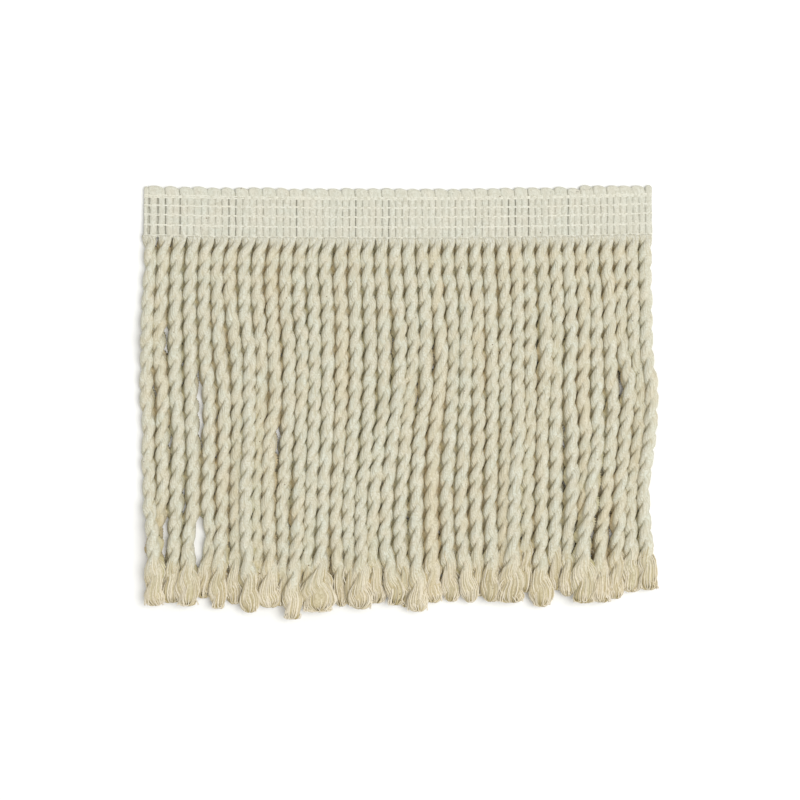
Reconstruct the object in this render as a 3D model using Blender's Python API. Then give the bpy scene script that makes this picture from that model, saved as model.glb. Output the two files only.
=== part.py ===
"""A cotton bullion fringe, lying flat on its back: a woven heading and its skirt of twisted cords.

X runs along the heading, Y points up the fringe towards the heading, and Z points away from the
surface that it lies on. The script is in metres; the sizes below are in millimetres.
"""
import math

import bmesh
import bpy

MM = 0.001
PIECE_GAP = 0.3

# Heading band
CORDS = 38
LEGS_PER_CORD = 2
CORD_PITCH = 4.84
HEADING_HEIGHT = 18.4
HEADING_THICK = 2.4
RIB_VALLEY = 1.5
RIB_SHOULDER = 0.3
SCALLOP_RISE = 0.9
EDGE_ROUND = 1.0
END_LIFT_LEFT = 1.0
END_LIFT_RIGHT = 1.5

# Comb of cords
SPINE_HEIGHT = 2.0
SPINE_THICK = 2.0
LEG_WIDTH = 4.7
THROAT_WIDTH = 3.2
CORD_WIDTH = 4.5
CORD_THICK = 4.5
TIP_THICK = 4.2
TIP_ROUND = 2.4

# Distances below the heading's lower edge at which each cord's place across is given
LEVELS = {"throat": 6.0, "upper": 40.0, "middle": 69.0, "lower": 94.5, "tip": 125.0}
THROAT_DEPTH = 3.6
SWELL_DEPTH = 7.0
TAIL_DEPTH = 112.0
BODY_STEPS = 5

# One row for each cord, from the left, in millimetres. The first five columns are how far the cord
# stands to the right of its even place at each level, then comes its length below the heading, the
# width of its opened end, and how far it is raised where it lies over a neighbour, at the middle
# and at the tip.
COLUMNS = ("throat", "upper", "middle", "lower", "tip", "length", "end_width", "over_mid", "over_tip")
CORD_TABLE = (
    (0.0, -1.3, -0.9, -0.2, 1.4, 133.6, 5.8, 0.0, 2.6),
    (-0.1, -1.9, -0.9, -0.7, -2.7, 130.7, 4.3, 0.0, 0.0),
    (0.1, -0.7, 0.4, -0.4, -2.3, 132.5, 5.1, 0.0, 0.0),
    (0.5, 0.2, 0.5, 1.0, -0.8, 133.4, 7.2, 0.0, 0.0),
    (0.4, 0.5, 2.2, 1.6, 0.1, 130.7, 4.0, 0.0, 0.0),
    (0.0, 0.8, 2.8, 2.0, 0.4, 134.3, 5.4, 0.6, 1.8),
    (0.1, 2.1, 2.6, 1.9, 1.3, 132.7, 5.8, 0.0, 0.4),
    (0.1, 2.1, 1.9, 0.8, 2.5, 135.4, 5.8, 1.2, 1.8),
    (0.4, 1.6, 0.9, -0.4, -0.4, 132.1, 5.1, 0.0, 0.0),
    (0.8, 1.3, 0.2, -1.0, -0.3, 133.6, 7.2, 0.0, 0.6),
    (0.8, 1.7, 1.5, -0.5, -0.5, 133.2, 3.3, 0.0, 0.0),
    (0.8, 1.9, 1.2, 0.5, -1.5, 137.6, 5.1, 0.4, 2.6),
    (0.5, 1.6, 1.2, 0.1, -1.5, 132.9, 4.3, 0.0, 0.0),
    (0.4, 1.5, 1.1, -0.3, -2.1, 135.0, 10.9, 0.6, 2.4),
    (1.0, 1.7, 1.0, -0.3, 1.3, 133.2, 4.3, 0.0, 0.4),
    (1.2, 1.9, 0.8, -0.7, 0.5, 132.9, 4.3, 0.0, 0.0),
    (0.9, 2.3, 1.4, -0.9, -1.3, 133.8, 7.2, 0.6, 1.4),
    (1.3, 2.4, 1.3, -1.4, -0.7, 132.0, 6.2, 0.0, 0.0),
    (1.7, 3.7, 1.3, -1.4, 1.5, 132.5, 5.1, 0.8, 1.6),
    (1.6, 3.2, 0.7, -1.0, 1.0, 133.4, 5.8, 0.0, 0.6),
    (1.8, 2.9, 0.9, -0.5, 0.3, 134.8, 6.2, 0.3, 1.0),
    (1.4, 3.8, 1.3, 0.2, 0.7, 131.8, 6.2, 0.0, 0.4),
    (1.3, 3.5, 2.2, 0.9, 2.6, 131.4, 6.2, 0.3, 0.8),
    (1.4, 3.1, 2.4, 1.3, 4.5, 131.6, 5.6, 0.0, 1.8),
    (1.6, 2.7, 2.8, 1.7, 3.2, 129.6, 3.1, 0.0, 0.0),
    (1.6, 2.9, 2.8, 2.4, 2.4, 131.4, 6.2, 0.3, 1.4),
    (1.9, 2.7, 3.0, 2.4, 2.2, 129.2, 3.6, 0.0, 0.0),
    (1.9, 2.5, 2.6, 1.2, -0.5, 131.8, 6.5, 0.9, 2.2),
    (1.6, 2.3, 2.0, 1.0, 0.3, 128.5, 4.0, 0.2, 0.4),
    (1.6, 2.9, 1.8, 1.4, 1.3, 133.6, 7.2, 0.4, 1.8),
    (1.7, 1.9, 1.6, 1.6, 1.7, 127.8, 3.3, 0.0, 0.0),
    (1.5, 2.4, 2.6, 2.7, 1.0, 130.0, 4.7, 0.6, 0.2),
    (1.0, 2.5, 2.7, 1.7, 1.0, 128.5, 3.6, 0.0, 0.0),
    (0.5, 2.2, 2.5, -0.3, -2.7, 132.5, 6.9, 0.8, 2.8),
    (0.6, 1.8, 2.6, 0.6, -1.4, 132.5, 5.1, 0.6, 0.8),
    (0.6, 1.5, 2.8, 0.6, -1.0, 131.4, 5.4, 0.3, 0.6),
    (0.1, 1.0, 2.8, -0.1, 0.1, 129.2, 5.8, 0.0, 0.0),
    (0.0, 0.5, 1.8, -0.8, 1.0, 128.5, 4.7, 0.6, 0.8),
)

CORD_COLOUR = (0.690, 0.640, 0.500, 1.0)
HEADING_COLOUR = (0.735, 0.710, 0.600, 1.0)
ROUGHNESS = 0.9


def material(name, colour):
    """A matt undyed cotton."""
    made = bpy.data.materials.new(name)
    made.use_nodes = True
    shader = made.node_tree.nodes["Principled BSDF"]
    shader.inputs["Base Color"].default_value = colour
    shader.inputs["Roughness"].default_value = ROUGHNESS
    shader.inputs["Metallic"].default_value = 0.0
    made.diffuse_color = colour
    return made


def new_object(name, mesh, collection, dressed):
    """Adds a mesh object, shaded smooth across its shallow angles."""
    made = bpy.data.objects.new(name, mesh)
    collection.objects.link(made)
    mesh.materials.append(dressed)
    mesh.shade_smooth()
    mesh.set_sharp_from_angle(angle=math.radians(50))
    return made


def sweep(position, stops):
    """Reads a place on the smooth curve that runs through (position, value) stops."""
    slopes = []
    for before, after in zip([stops[0]] + stops[:-1], stops[1:] + [stops[-1]]):
        slopes.append((after[1] - before[1]) / (after[0] - before[0]))
    if position <= stops[0][0]:
        return stops[0][1]
    if position >= stops[-1][0]:
        return stops[-1][1]
    for (start, low), (end, high), leave, arrive in zip(stops, stops[1:], slopes, slopes[1:]):
        if position <= end:
            span = end - start
            share = (position - start) / span
            rest = 1 - share
            eased = low * (1 + 2 * share) * rest * rest + high * (3 - 2 * share) * share * share
            return eased + span * share * rest * (leave * rest - arrive * share)


def blend(position, stops):
    """Reads a value at a position from (position, value) stops, eased from one to the next."""
    if position <= stops[0][0]:
        return stops[0][1]
    for (start, low), (end, high) in zip(stops, stops[1:]):
        if position <= end:
            share = (position - start) / (end - start)
            return low + (high - low) * (3 - 2 * share) * share * share
    return stops[-1][1]


def edge_lift(x):
    """How far the heading's edges rise above the middle of its sag, at a place along it."""
    half = CORDS * CORD_PITCH / 2
    lift = END_LIFT_LEFT if x < 0 else END_LIFT_RIGHT
    return lift * (x / half) ** 2


def even_place(index):
    """The even place across of a cord, counted from the left."""
    return (index - (CORDS - 1) / 2) * CORD_PITCH


def heading_mesh():
    """A band of upright yarn legs, with a flat back, a ribbed face and a scalloped top edge."""
    legs = CORDS * LEGS_PER_CORD
    leg_pitch = CORD_PITCH / LEGS_PER_CORD
    rib = ((0.0, RIB_VALLEY), (RIB_SHOULDER, HEADING_THICK), (1 - RIB_SHOULDER, HEADING_THICK))
    columns = [((leg + share) * leg_pitch, height) for leg in range(legs) for share, height in rib]
    columns.append((legs * leg_pitch, RIB_VALLEY))
    width = legs * leg_pitch

    mesh = bmesh.new()
    grid = []
    for place, height in columns:
        x = place - width / 2
        bottom = edge_lift(x)
        loop_phase = (place + leg_pitch) / CORD_PITCH
        top = HEADING_HEIGHT + bottom + SCALLOP_RISE * abs(math.sin(math.pi * loop_phase))
        profile = (
            (bottom, 0.0),
            (bottom, height),
            (top - EDGE_ROUND, height),
            (top, height - EDGE_ROUND),
            (top, 0.0),
        )
        grid.append([mesh.verts.new((x * MM, y * MM, z * MM)) for y, z in profile])
    rows = len(grid[0])
    for left, right in zip(grid, grid[1:]):
        for row in range(rows):
            after = (row + 1) % rows
            mesh.faces.new((left[row], right[row], right[after], left[after]))
    mesh.faces.new(grid[0])
    mesh.faces.new(reversed(grid[-1]))
    bmesh.ops.recalc_face_normals(mesh, faces=mesh.faces)
    made = bpy.data.meshes.new("heading")
    mesh.to_mesh(made)
    mesh.free()
    return made


def spine_mesh():
    """The strip of yarn just below the heading, from which every cord starts."""
    half = CORDS * CORD_PITCH / 2
    mesh = bmesh.new()
    rings = []
    for step in range(CORDS + 1):
        x = -half + step * CORD_PITCH
        top = edge_lift(x) - PIECE_GAP
        corners = ((top, 0.0), (top, SPINE_THICK), (top - SPINE_HEIGHT, SPINE_THICK), (top - SPINE_HEIGHT, 0.0))
        rings.append([mesh.verts.new((x * MM, y * MM, z * MM)) for y, z in corners])
    loft(mesh, rings)
    made = bpy.data.meshes.new("spine")
    mesh.to_mesh(made)
    mesh.free()
    return made


def loft(mesh, rings):
    """Joins rings of the same count into one closed skin with flat ends."""
    count = len(rings[0])
    for before, after in zip(rings, rings[1:]):
        for corner in range(count):
            turn = (corner + 1) % count
            mesh.faces.new((before[corner], after[corner], after[turn], before[turn]))
    mesh.faces.new(rings[0])
    mesh.faces.new(reversed(rings[-1]))
    bmesh.ops.recalc_face_normals(mesh, faces=mesh.faces)


def cord_sections(index, row):
    """The sections down one cord: (x, y, raised, half width, half thickness)."""
    length = row["length"]
    across = [(depth, row[level]) for level, depth in LEVELS.items()]
    widths = (
        (0.0, LEG_WIDTH),
        (THROAT_DEPTH, THROAT_WIDTH),
        (SWELL_DEPTH, CORD_WIDTH),
        (TAIL_DEPTH, CORD_WIDTH),
        (length - TIP_ROUND, row["end_width"]),
        (length, row["end_width"] * 0.55),
    )
    thicks = (
        (0.0, SPINE_THICK - 0.2),
        (SWELL_DEPTH, CORD_THICK),
        (TAIL_DEPTH, CORD_THICK),
        (length - TIP_ROUND, TIP_THICK),
        (length, TIP_THICK * 0.5),
    )
    raised = (
        (LEVELS["upper"], 0.0),
        (LEVELS["middle"], row["over_mid"]),
        (LEVELS["lower"], (row["over_mid"] + row["over_tip"]) / 2),
        (LEVELS["tip"], row["over_tip"]),
    )
    body = [SWELL_DEPTH + (TAIL_DEPTH - SWELL_DEPTH) * step / BODY_STEPS for step in range(BODY_STEPS + 1)]
    depths = [SPINE_HEIGHT / 2, THROAT_DEPTH, *body, length - TIP_ROUND, length]
    start = even_place(index) + row["throat"]
    for depth in depths:
        x = even_place(index) + sweep(depth, across)
        yield x, edge_lift(start) - depth, blend(depth, raised), blend(depth, widths) / 2, blend(depth, thicks) / 2


def cord_mesh(index, row):
    """One cord: a soft eight-sided tube that opens at its end, flat below where it lies."""
    shoulder = math.tan(math.radians(22.5))
    mesh = bmesh.new()
    rings = []
    for x, y, raised, half_width, half_thick in cord_sections(index, row):
        centre = half_thick + raised
        corners = []
        for side, level in ((1, -shoulder), (1, shoulder), (shoulder, 1), (-shoulder, 1)):
            corners.append((x + side * half_width, centre + level * half_thick))
        for side, level in ((-1, shoulder), (-1, -shoulder), (-shoulder, -1), (shoulder, -1)):
            corners.append((x + side * half_width, centre + level * half_thick))
        rings.append([mesh.verts.new((u * MM, y * MM, w * MM)) for u, w in corners])
    loft(mesh, rings)
    made = bpy.data.meshes.new(f"cord_{index:02d}")
    mesh.to_mesh(made)
    mesh.free()
    return made


def comb_mesh(tools):
    """The cords and the strip that they start from, joined into one comb."""
    spine = bpy.data.objects.new("fringe_spine", spine_mesh())
    tools.objects.link(spine)
    teeth = bpy.data.collections.new("fringe_teeth")
    tools.children.link(teeth)
    for index, values in enumerate(CORD_TABLE):
        cord = bpy.data.objects.new(f"cord_{index:02d}", cord_mesh(index, dict(zip(COLUMNS, values))))
        cord.hide_render = True
        cord.display_type = "WIRE"
        teeth.objects.link(cord)
    joined = spine.modifiers.new("join", "BOOLEAN")
    joined.operation = "UNION"
    joined.solver = "EXACT"
    joined.operand_type = "COLLECTION"
    joined.collection = teeth
    joined.use_self = True
    shape = bpy.data.meshes.new_from_object(spine.evaluated_get(bpy.context.evaluated_depsgraph_get()))
    shape.name = "fringe"
    for cord in list(teeth.objects):
        bpy.data.objects.remove(cord)
    bpy.data.objects.remove(spine)
    bpy.data.collections.remove(teeth)
    return shape


def centre_on_origin(objects):
    """Moves the pieces so that the middle of their common box stands on the origin."""
    corners = [vertex.co for piece in objects for vertex in piece.data.vertices]
    low = [min(corner[axis] for corner in corners) for axis in range(3)]
    high = [max(corner[axis] for corner in corners) for axis in range(3)]
    shift = ((low[0] + high[0]) / 2, (low[1] + high[1]) / 2, low[2])
    for piece in objects:
        for vertex in piece.data.vertices:
            vertex.co = [value - moved for value, moved in zip(vertex.co, shift)]


def main():
    """Builds the heading and the comb of cords."""
    for old in list(bpy.data.objects):
        bpy.data.objects.remove(old)
    fringe = bpy.data.collections.new("bullion_fringe")
    tools = bpy.data.collections.new("construction")
    for collection in (fringe, tools):
        bpy.context.scene.collection.children.link(collection)
    comb = new_object("fringe", comb_mesh(tools), fringe, material("cotton_cord", CORD_COLOUR))
    heading = new_object("heading", heading_mesh(), fringe, material("cotton_heading", HEADING_COLOUR))
    centre_on_origin((comb, heading))


main()
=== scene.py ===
"""Dresses a cotton bullion fringe that lies flat on its back on a pale surface.

X runs along the heading to the right, Y points up the fringe towards the heading, and Z points out
of its face. Lengths are in millimetres until a mesh is made, and meshes are in metres.
"""
import logging
import math
from collections.abc import Sequence
from dataclasses import dataclass, field
from enum import Enum

import bpy
import numpy as np
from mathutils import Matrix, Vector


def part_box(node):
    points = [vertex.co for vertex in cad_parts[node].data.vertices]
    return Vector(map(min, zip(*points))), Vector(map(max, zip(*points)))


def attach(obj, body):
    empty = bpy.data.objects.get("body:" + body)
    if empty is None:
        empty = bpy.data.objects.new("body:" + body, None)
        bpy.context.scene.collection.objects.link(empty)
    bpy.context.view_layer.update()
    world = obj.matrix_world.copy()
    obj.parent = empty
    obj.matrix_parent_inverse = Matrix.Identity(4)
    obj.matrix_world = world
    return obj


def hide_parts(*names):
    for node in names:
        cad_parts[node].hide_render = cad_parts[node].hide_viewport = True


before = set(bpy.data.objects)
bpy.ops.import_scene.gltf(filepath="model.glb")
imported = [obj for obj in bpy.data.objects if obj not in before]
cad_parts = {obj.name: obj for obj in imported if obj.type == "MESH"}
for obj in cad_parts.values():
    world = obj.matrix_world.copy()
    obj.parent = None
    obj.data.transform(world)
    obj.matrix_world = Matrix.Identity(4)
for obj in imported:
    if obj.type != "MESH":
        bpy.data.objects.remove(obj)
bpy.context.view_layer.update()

MM = 0.001
BODY = "root"
BAKE_MAP = "OFBake"
THREAD_MAP = "thread"
# The marks on each point of a yarn, from 0 to 1, with their plain values: how far it is opened, how
# plain its hue is, how much painted shade it has (in creases, slits and beside or under other yarn), how
# near it is to the heading, how warm its hue is
MARKS = {"opened": 0.0, "tint": 0.0, "fold": 0.0, "woven": 0.0, "warm": 0.5}

MATH = "ShaderNodeMath"
TIMES = {"operation": "MULTIPLY"}
TIMES_PLUS = {"operation": "MULTIPLY_ADD"}
# A range node takes a value, the span that it comes from and the span that it goes to
RANGE = "ShaderNodeMapRange"
NOISE = "ShaderNodeTexNoise"
# A mix of colours takes its share, first and second colour at these inputs, and gives this output
MIX = "ShaderNodeMix"
COLOURS = {"data_type": "RGBA"}
MIX_SHARE, MIX_FIRST, MIX_SECOND, MIXED = 0, 6, 7, 2

Value = float | tuple | bpy.types.NodeSocket
Stops = Sequence[tuple[float, float]]

log = logging.getLogger("bullion_fringe")


class Slot(Enum):
    """The fringe's two cotton finishes."""

    CORD = "cotton_cord"
    HEADING = "cotton_heading"


class Turn(Enum):
    """Which way a yarn goes across the legs of the heading at its first leg."""

    OVER = 1
    UNDER = -1


def linear(hex_colour: str) -> tuple[float, float, float, float]:
    """Turns an sRGB hex colour into a linear one.

    Args:
        hex_colour: the colour as "#RRGGBB".

    Returns:
        Red, green, blue and alpha, linear.
    """
    shares = [int(hex_colour[at : at + 2], 16) / 255 for at in (1, 3, 5)]
    lit = [share / 12.92 if share <= 0.04045 else ((share + 0.055) / 1.055) ** 2.4 for share in shares]
    return lit[0], lit[1], lit[2], 1.0


def add_object(name: str, data: bpy.types.ID) -> bpy.types.Object:
    """Puts a mesh, a camera or a light into the scene."""
    made = bpy.data.objects.new(name, data)
    bpy.context.scene.collection.objects.link(made)
    return made


def new_material(name: str) -> bpy.types.Material:
    """Makes a material that has no nodes yet."""
    made = bpy.data.materials.new(name)
    made.use_nodes = True
    made.node_tree.nodes.clear()
    return made


def add_node(
    tree: bpy.types.NodeTree, kind: str, settings: dict, inputs: dict | tuple, output: str | int = 0
) -> bpy.types.NodeSocket | None:
    """Adds a node with its settings, its input values and its links.

    Args:
        tree: the node tree that it goes into.
        kind: the node's type name.
        settings: the node's own properties by name.
        inputs: a value or an output socket for each input, by name or number, or in order.
        output: the output that is wanted, by name or number.

    Returns:
        That output, or None from a node that has no outputs.
    """
    node = tree.nodes.new(kind)
    for name, value in settings.items():
        setattr(node, name, value)
    for key, value in inputs.items() if isinstance(inputs, dict) else enumerate(inputs):
        if isinstance(value, bpy.types.NodeSocket):
            tree.links.new(value, node.inputs[key])
        else:
            node.inputs[key].default_value = value
    return node.outputs[output] if node.outputs else None


def find_span(position: np.ndarray, stops: Stops) -> tuple[np.ndarray, ...]:
    """Finds the two stops that each position lies between.

    Args:
        position: where to look.
        stops: (position, value) pairs in rising order.

    Returns:
        The stops' positions and values, the number of the stop before each position, the distance
        from it to the next stop, and the share of that distance.
    """
    places, values = np.array(stops, dtype=float).T
    at = np.clip(np.searchsorted(places, position, side="right") - 1, 0, len(places) - 2)
    span = places[at + 1] - places[at]
    return places, values, at, span, np.clip((position - places[at]) / span, 0.0, 1.0)


def eased(position: np.ndarray, stops: Stops) -> np.ndarray:
    """Reads values that ease from one stop to the next.

    Args:
        position: where to read.
        stops: (position, value) pairs in rising order.

    Returns:
        The value at each position.
    """
    _, values, at, _, share = find_span(position, stops)
    share = share * share * (3 - 2 * share)
    return values[at] + (values[at + 1] - values[at]) * share


def swept(position: np.ndarray, stops: Stops) -> np.ndarray:
    """Reads a smooth curve that runs through every stop.

    Args:
        position: where to read.
        stops: (position, value) pairs in rising order.

    Returns:
        The value at each position.
    """
    places, values, at, span, share = find_span(position, stops)
    slopes = np.gradient(values, places)
    rest = 1 - share
    low, high = values[at], values[at + 1]
    through = low * (1 + 2 * share) * rest * rest + high * (3 - 2 * share) * share * share
    return through + span * share * rest * (slopes[at] * rest - slopes[at + 1] * share)


@dataclass(frozen=True)
class CottonYarn:
    """Undyed cotton yarn, carded, soft spun and not bleached.

    It is matt, a greenish cream in the light, with soft uneven threads that run along it, a faint cool
    and warm mottle, and now and then a brown fleck of seed. The tan shade in its folds, between its
    threads and beside other yarn is painted into its colour. The real threads are about 0.45 mm apart,
    too fine for a picture of the whole piece, so they are drawn coarser.
    """

    name: str
    # The even colour of the yarn, the colour of the painted shade between its threads, and the two ends of
    # its mottle
    face: str
    groove: str
    cool: str
    warm: str
    # The threads that lie round it, its girth, how dark the painted shade in its grooves is and how high
    # its bump
    threads_round: float
    girth_mm: float
    groove_share: float
    bump_mm: float
    # How much of the relief is even threads, the rest being streaks, and how much fibre is added
    ridge_share: float = 0.25
    fibre_share: float = 0.75
    fibre_mm: float = 0.55
    # How far the threads slant, in threads for each millimetre along, and how far they wander
    slant: float = 0.0
    wander_mm: float = 2.4
    wander_threads: float = 0.8
    # The width and length of a streak, and how far a yarn of another tint has its streaks shifted
    streak_mm: float = 0.75
    streak_long_mm: float = 5.0
    streak_shift: float = 90.0
    # The spans of noise that a streak, the mottle and a speckle are drawn from
    streak_span: tuple = (0.32, 0.68)
    mottle_mm: float = 5.0
    mottle_span: tuple = (0.36, 0.64)
    # The colour of the opened ends, the painted shade of a warm and of a cool yarn in its folds and beside
    # other yarn, how strongly it is painted, and the colour of the yarn in the heading
    opened: str = "#DFD5BC"
    fold: str = "#BCA166"
    painted_shade_cool: str = "#AFA56F"
    painted_shade_share: float = 0.85
    woven: str = "#DEDDD0"
    # The tan that the warmest yarn leans to
    tan: str = "#DECDA9"
    tan_share: float = 0.42
    # Painted shade in small hollows between the fibres, and how much more the painted shade in the grooves
    # shows in opened yarn
    speckle_mm: float = 0.7
    speckle_share: float = 0.5
    speckle_span: tuple = (0.36, 0.60)
    parting: float = 0.5
    # The flecks of seed
    fleck: str = "#66492A"
    fleck_share: float = 0.85
    fleck_spacing_mm: float = 6.0
    fleck_radius_mm: float = 0.32
    # Dry cotton has no gloss, and the fine hairs on it catch a little light at its edges
    roughness: float = 0.92
    ior: float = 1.5
    sheen: float = 0.12

    def build(self) -> bpy.types.Material:
        """Makes the yarn's material."""
        made = new_material(self.name)
        tree = made.node_tree
        place = add_node(tree, "ShaderNodeTexCoord", {}, {}, "Object")
        given = {}
        for name in MARKS:
            given[name] = add_node(tree, "ShaderNodeAttribute", {"attribute_name": name}, {}, "Fac")
        for name, size, detail in (
            ("fibre", self.fibre_mm, 3.0),
            ("wander", self.wander_mm, 2.0),
            ("mottle", self.mottle_mm, 5.0),
            ("speckle", self.speckle_mm, 2.0),
        ):
            cells = {"Vector": place, "Scale": 1 / (size * MM), "Detail": detail}
            given[name] = add_node(tree, NOISE, {}, cells)
        threads = self.lay_threads(tree, given)
        height = add_node(tree, MATH, TIMES_PLUS, (given["fibre"], self.fibre_share, threads))
        bump = {"Strength": 1.0, "Distance": self.bump_mm * MM, "Height": height}
        worn = {
            "Base Color": self.dye(tree, place, threads, given),
            "Roughness": self.roughness,
            "IOR": self.ior,
            "Sheen Weight": self.sheen,
            "Normal": add_node(tree, "ShaderNodeBump", {}, bump),
        }
        shader = add_node(tree, "ShaderNodeBsdfPrincipled", {}, worn)
        add_node(tree, "ShaderNodeOutputMaterial", {}, {"Surface": shader})
        return made

    def lay_threads(
        self, tree: bpy.types.NodeTree, given: dict[str, bpy.types.NodeSocket]
    ) -> bpy.types.NodeSocket:
        """Draws the threads that run along the yarn, from 0 in a groove to 1 on a thread.

        Args:
            tree: the material's node tree.
            given: the marks on the yarn's points, and the noises, by name.

        Returns:
            The height of the threads.
        """
        lay = add_node(tree, "ShaderNodeUVMap", {"uv_map": THREAD_MAP}, {})
        around = add_node(tree, "ShaderNodeSeparateXYZ", {}, (lay,), "X")
        along = around.node.outputs["Y"]
        turn = add_node(tree, MATH, TIMES, (around, math.tau))
        strayed = add_node(tree, MATH, TIMES, (given["wander"], self.wander_threads))
        slanted = add_node(tree, MATH, TIMES_PLUS, (along, self.slant, strayed))
        shift = add_node(tree, MATH, TIMES, (slanted, math.tau))
        phase = add_node(tree, MATH, TIMES_PLUS, (turn, self.threads_round, shift))
        wave = add_node(tree, MATH, {"operation": "SINE"}, (phase,))
        ridge = add_node(tree, MATH, TIMES_PLUS, (wave, 0.5, 0.5))
        # Streaks come from noise on the yarn's own skin, drawn out along it
        radius = self.girth_mm / math.tau / self.streak_mm
        skin = []
        for operation in ("COSINE", "SINE"):
            aside = add_node(tree, MATH, {"operation": operation}, (turn,))
            skin.append(add_node(tree, MATH, TIMES, (aside, radius)))
        own = add_node(tree, MATH, TIMES, (given["tint"], self.streak_shift))
        skin.append(add_node(tree, MATH, TIMES_PLUS, (along, 1 / self.streak_long_mm, own)))
        spot = add_node(tree, "ShaderNodeCombineXYZ", {}, tuple(skin))
        drawn = add_node(tree, NOISE, {}, {"Vector": spot, "Scale": 1.0, "Detail": 2.0})
        streak = add_node(tree, RANGE, {}, (drawn, *self.streak_span, 0.0, 1.0))
        even = add_node(tree, MATH, TIMES, (ridge, self.ridge_share))
        return add_node(tree, MATH, TIMES_PLUS, (streak, 1 - self.ridge_share, even))

    def dye(
        self, tree: bpy.types.NodeTree, place: Value, threads: Value, given: dict[str, bpy.types.NodeSocket]
    ) -> bpy.types.NodeSocket:
        """Colours the yarn, one wash over another, with painted shade in its grooves, hollows and folds.

        Args:
            tree: the material's node tree.
            place: the place on the object.
            threads: the height of the threads.
            given: the marks on the yarn's points, and the noises, by name.

        Returns:
            The colour.
        """
        mottled = add_node(tree, RANGE, {}, (given["mottle"], *self.mottle_span, 0.0, 1.0))
        tanned = add_node(tree, RANGE, {}, (given["warm"], 0.5, 1.0, 0.0, self.tan_share))
        speckle = add_node(tree, RANGE, {}, (given["speckle"], *self.speckle_span, self.speckle_share, 0.0))
        groove = add_node(tree, RANGE, {}, (threads, 0.0, 0.75, self.groove_share, 0.0))
        deep = add_node(tree, MATH, {"operation": "MAXIMUM"}, (groove, speckle))
        # Opened yarn parts into its threads, so that the painted shade between them shows more
        part = add_node(tree, MATH, TIMES_PLUS, (given["opened"], self.parting, 1.0))
        parted = add_node(tree, MATH, TIMES, (deep, part))
        # The painted shade of creases, slits and neighbours, in a warmer colour on a warm yarn
        shade_amount = add_node(tree, MATH, TIMES, (given["fold"], self.painted_shade_share))
        leaning = add_node(tree, RANGE, {}, (given["warm"], 0.25, 0.75, 0.0, 1.0))
        shade_colours = {MIX_SHARE: leaning, MIX_FIRST: linear(self.painted_shade_cool), MIX_SECOND: linear(self.fold)}
        cells = {"Vector": place, "Scale": 1 / (self.fleck_spacing_mm * MM)}
        away = add_node(tree, "ShaderNodeTexVoronoi", {}, cells, "Distance")
        edge = self.fleck_radius_mm / self.fleck_spacing_mm
        flecked = add_node(tree, RANGE, {}, (away, edge * 0.5, edge, self.fleck_share, 0.0))
        colour = linear(self.cool)
        for share, wash in (
            (mottled, linear(self.warm)),
            (given["tint"], linear(self.face)),
            (tanned, linear(self.tan)),
            (given["opened"], linear(self.opened)),
            (given["woven"], linear(self.woven)),
            (parted, linear(self.groove)),
            (shade_amount, add_node(tree, MIX, COLOURS, shade_colours, MIXED)),
            (flecked, linear(self.fleck)),
        ):
            washes = {MIX_SHARE: share, MIX_FIRST: colour, MIX_SECOND: wash}
            colour = add_node(tree, MIX, COLOURS, washes, MIXED)
        return colour


# Thick soft-spun yarn, twelve threads round: a greenish cream, with painted shade in the grooves between
# them
CORD_COTTON = CottonYarn(
    name="cotton_cord", face="#DCDBCC", groove="#B0A581", cool="#DADCCE", warm="#DDD7C4",
    threads_round=12.0, girth_mm=9.6, groove_share=0.66, bump_mm=0.22,
)
# Single threads of the opened ends: a warmer, smoother cream, painted lighter and with fainter painted
# shade between its threads, because no twist shades them
THREAD_COTTON = CottonYarn(
    name="cotton_thread", face="#E3DCC8", groove="#C0B08A", cool="#E0DCCB", warm="#E4DAC2",
    threads_round=3.0, girth_mm=1.0, groove_share=0.15, bump_mm=0.03,
    opened="#ECE3D0", fold="#B49D70", speckle_share=0.2,
)
# The same thick yarn drawn tight in the heading: a plainer cream with a flatter grain, and dark painted
# shade on its legs' sides, in its slits and on the rims of its loops
HEADING_COTTON = CottonYarn(
    name="cotton_heading", face="#D8D7C9", groove="#B4AF99", cool="#D5D7CA", warm="#DAD5C5",
    threads_round=9.0, girth_mm=6.6, groove_share=0.42, bump_mm=0.15, slant=0.35,
    opened="#E4E2D5", fold="#5E5A48", painted_shade_cool="#5E5A48",
)
# Fine hard-twisted warp: the palest and smoothest of the four, so that its rows stand out
WARP_COTTON = CottonYarn(
    name="cotton_warp", face="#E6E4D5", groove="#D6D2C0", cool="#E5E4D8", warm="#E8E3D2",
    threads_round=3.0, girth_mm=1.1, groove_share=0.1, bump_mm=0.02, speckle_share=0.0,
)


@dataclass(frozen=True)
class PaleCard:
    """Matt white card, pressed smooth: an even white with a barely seen grain."""

    name: str = "white_card"
    face: str = "#FBFBFA"
    grain: str = "#F7F7F6"
    grain_mm: float = 3.0
    roughness: float = 0.95

    def build(self) -> bpy.types.Material:
        """Makes the card's material."""
        made = new_material(self.name)
        tree = made.node_tree
        place = add_node(tree, "ShaderNodeTexCoord", {}, {}, "Object")
        grain = add_node(tree, NOISE, {}, {"Vector": place, "Scale": 1 / (self.grain_mm * MM)})
        shades = {MIX_SHARE: grain, MIX_FIRST: linear(self.face), MIX_SECOND: linear(self.grain)}
        colour = add_node(tree, MIX, COLOURS, shades, MIXED)
        worn = {"Base Color": colour, "Roughness": self.roughness}
        shader = add_node(tree, "ShaderNodeBsdfPrincipled", {}, worn)
        add_node(tree, "ShaderNodeOutputMaterial", {}, {"Surface": shader})
        return made


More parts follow.
